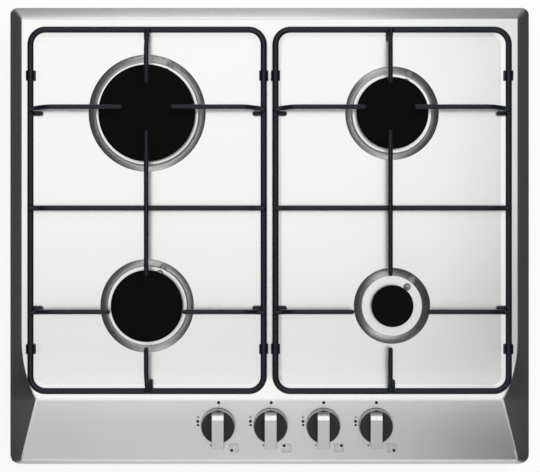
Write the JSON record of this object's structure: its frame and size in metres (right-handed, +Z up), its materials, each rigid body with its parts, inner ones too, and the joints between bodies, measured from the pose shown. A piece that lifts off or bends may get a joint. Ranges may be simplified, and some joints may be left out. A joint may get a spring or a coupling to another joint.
{
  "type": "gas cooktop",
  "caption": "Built-in gas hob: pressed steel top with sloping rim and control strip, capped burners, lift-off wire pan supports, push-and-turn knobs and a casing below the worktop.",
  "frame": {"origin": "middle of the outline, on the underside of the casing", "axes": "+X to the right seen from the user, +Y to the rear, +Z up"},
  "size_m": [0.58, 0.51, 0.084],
  "materials": {
    "steel": "fine brushed stainless steel",
    "casing": "galvanised sheet",
    "rubber": "matt black rubber",
    "foam": "closed-cell grey foam",
    "wire": "satin dark navy enamel",
    "cap": "matt black enamel",
    "aluminium": "die-cast and drawn aluminium",
    "brass": "machined brass",
    "ceramic": "white glazed ceramic",
    "knob": "silver lacquered plastic with a dark disc",
    "plastic": "black moulded plastic",
    "zinc": "zinc-plated steel"
  },
  "bodies": {
    "root": {"top_panel": "steel", "worktop_seal": "foam", "bottom_casing": "casing", "cable_gland": "plastic", "ignition_module": "plastic", "gas_rail": "zinc", "worktop_clamp_front_left": "zinc", "worktop_clamp_rear_left": "zinc", "worktop_clamp_front_right": "zinc", "worktop_clamp_rear_right": "zinc", "burner_cup_rear_left": "aluminium", "burner_cup_rear_right": "aluminium", "burner_cup_front_left": "aluminium", "burner_cup_front_right": "aluminium", "injector_rear_left": "brass", "injector_rear_right": "brass", "injector_front_left": "brass", "injector_front_right": "brass", "spark_electrode_rear_left": "ceramic", "spark_electrode_rear_right": "ceramic", "spark_electrode_front_left": "ceramic", "spark_electrode_front_right": "ceramic", "tap_body_1": "brass", "tap_body_2": "brass", "tap_body_3": "brass", "tap_body_4": "brass", "feed_pipe_1": "aluminium", "feed_pipe_2": "aluminium", "feed_pipe_3": "aluminium", "feed_pipe_4": "aluminium"},
    "pan_support_left": {"pan_support_left": "wire", "foot_left_rear_left": "rubber", "foot_left_front_left": "rubber", "foot_left_rear_right": "rubber", "foot_left_front_right": "rubber"},
    "pan_support_right": {"pan_support_right": "wire", "foot_right_rear_left": "rubber", "foot_right_front_left": "rubber", "foot_right_rear_right": "rubber", "foot_right_front_right": "rubber"},
    "burner_head_rear_left": {"burner_head_rear_left": "aluminium"},
    "burner_head_rear_right": {"burner_head_rear_right": "aluminium"},
    "burner_head_front_left": {"burner_head_front_left": "aluminium"},
    "burner_head_front_right": {"burner_head_front_right": "aluminium"},
    "burner_cap_rear_left": {"burner_cap_rear_left": "cap"},
    "burner_cap_rear_right": {"burner_cap_rear_right": "cap"},
    "burner_cap_front_left": {"burner_cap_front_left": "cap"},
    "burner_cap_front_right": {"burner_cap_front_right": "cap"},
    "tap_plug_1": {"tap_plug_1": "brass"},
    "tap_plug_2": {"tap_plug_2": "brass"},
    "tap_plug_3": {"tap_plug_3": "brass"},
    "tap_plug_4": {"tap_plug_4": "brass"},
    "knob_1": {"knob_1": "knob", "tap_spindle_1": "zinc"},
    "knob_2": {"knob_2": "knob", "tap_spindle_2": "zinc"},
    "knob_3": {"knob_3": "knob", "tap_spindle_3": "zinc"},
    "knob_4": {"knob_4": "knob", "tap_spindle_4": "zinc"}
  },
  "joints": [
    {"name": "pan_support_left_lift", "type": "slide", "parent": "root", "child": "pan_support_left", "axis": [0, 0, 1], "range_m": [0, 0.12]},
    {"name": "pan_support_right_lift", "type": "slide", "parent": "root", "child": "pan_support_right", "axis": [0, 0, 1], "range_m": [0, 0.12]},
    {"name": "burner_head_rear_left_lift", "type": "slide", "parent": "root", "child": "burner_head_rear_left", "axis": [0, 0, 1], "range_m": [0, 0.008]},
    {"name": "burner_cap_rear_left_lift", "type": "slide", "parent": "burner_head_rear_left", "child": "burner_cap_rear_left", "axis": [0, 0, 1], "range_m": [0, 0.006]},
    {"name": "burner_head_rear_right_lift", "type": "slide", "parent": "root", "child": "burner_head_rear_right", "axis": [0, 0, 1], "range_m": [0, 0.008]},
    {"name": "burner_cap_rear_right_lift", "type": "slide", "parent": "burner_head_rear_right", "child": "burner_cap_rear_right", "axis": [0, 0, 1], "range_m": [0, 0.006]},
    {"name": "burner_head_front_left_lift", "type": "slide", "parent": "root", "child": "burner_head_front_left", "axis": [0, 0, 1], "range_m": [0, 0.008]},
    {"name": "burner_cap_front_left_lift", "type": "slide", "parent": "burner_head_front_left", "child": "burner_cap_front_left", "axis": [0, 0, 1], "range_m": [0, 0.006]},
    {"name": "burner_head_front_right_lift", "type": "slide", "parent": "root", "child": "burner_head_front_right", "axis": [0, 0, 1], "range_m": [0, 0.06]},
    {"name": "burner_cap_front_right_lift", "type": "slide", "parent": "burner_head_front_right", "child": "burner_cap_front_right", "axis": [0, 0, 1], "range_m": [0, 0.04]},
    {"name": "tap_1_turn", "type": "hinge", "parent": "root", "child": "tap_plug_1", "pos_m": [-0.0574, -0.2109, 0.05235], "axis": [0, -0.093, 0.9957], "range_deg": [0, 210]},
    {"name": "knob_1_push", "type": "slide", "parent": "tap_plug_1", "child": "knob_1", "axis": [0, 0.093, -0.9957], "range_m": [0, 0.003], "stiffness_N_per_m": 1500, "springref_m": -0.002},
    {"name": "tap_2_turn", "type": "hinge", "parent": "root", "child": "tap_plug_2", "pos_m": [0.0012, -0.2109, 0.05235], "axis": [0, -0.093, 0.9957], "range_deg": [0, 210]},
    {"name": "knob_2_push", "type": "slide", "parent": "tap_plug_2", "child": "knob_2", "axis": [0, 0.093, -0.9957], "range_m": [0, 0.003], "stiffness_N_per_m": 1500, "springref_m": -0.002},
    {"name": "tap_3_turn", "type": "hinge", "parent": "root", "child": "tap_plug_3", "pos_m": [0.0598, -0.2109, 0.05235], "axis": [0, -0.093, 0.9957], "range_deg": [0, 210]},
    {"name": "knob_3_push", "type": "slide", "parent": "tap_plug_3", "child": "knob_3", "axis": [0, 0.093, -0.9957], "range_m": [0, 0.003], "stiffness_N_per_m": 1500, "springref_m": -0.002},
    {"name": "tap_4_turn", "type": "hinge", "parent": "root", "child": "tap_plug_4", "pos_m": [0.1184, -0.2109, 0.05235], "axis": [0, -0.093, 0.9957], "range_deg": [0, 210]},
    {"name": "knob_4_push", "type": "slide", "parent": "tap_plug_4", "child": "knob_4", "axis": [0, 0.093, -0.9957], "range_m": [0, 0.003], "stiffness_N_per_m": 1500, "springref_m": -0.002}
  ]
}
